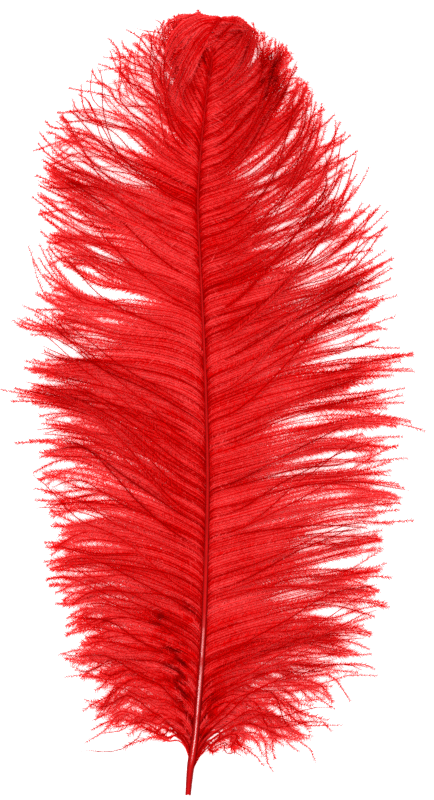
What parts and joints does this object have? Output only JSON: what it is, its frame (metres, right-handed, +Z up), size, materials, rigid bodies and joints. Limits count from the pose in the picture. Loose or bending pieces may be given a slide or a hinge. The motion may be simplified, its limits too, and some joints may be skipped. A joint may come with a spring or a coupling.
{
  "type": "ostrich feather",
  "caption": "Dyed red ostrich plume lying flat, with a grooved shaft, loose downy barbs and a tip that curls up and over.",
  "frame": {"origin": "on the resting surface, under the middle of the feather", "axes": "+X across the feather to its right side, +Y along the shaft from the quill to the curled tip, +Z up, away from the resting surface"},
  "size_m": [0.1748, 0.361, 0.0271],
  "materials": {
    "shaft": "dyed red horn, glossy, with a pale streak where the light catches the bare quill",
    "vane": "dyed red barbs, darker than the soft barbules between them, matt with a faint sheen",
    "down": "dyed red down, a shade deeper than the vane, matt"
  },
  "bodies": {
    "root": {"shaft": "shaft", "downy_barbs_left": "down", "lower_vane_left": "vane", "middle_vane_left": "vane", "upper_vane_left": "vane", "head_vane_left": "vane", "downy_barbs_right": "down", "lower_vane_right": "vane", "middle_vane_right": "vane", "upper_vane_right": "vane", "head_vane_right": "vane", "tip_curl_left": "vane", "tip_curl_right": "vane"}
  },
  "joints": []
}
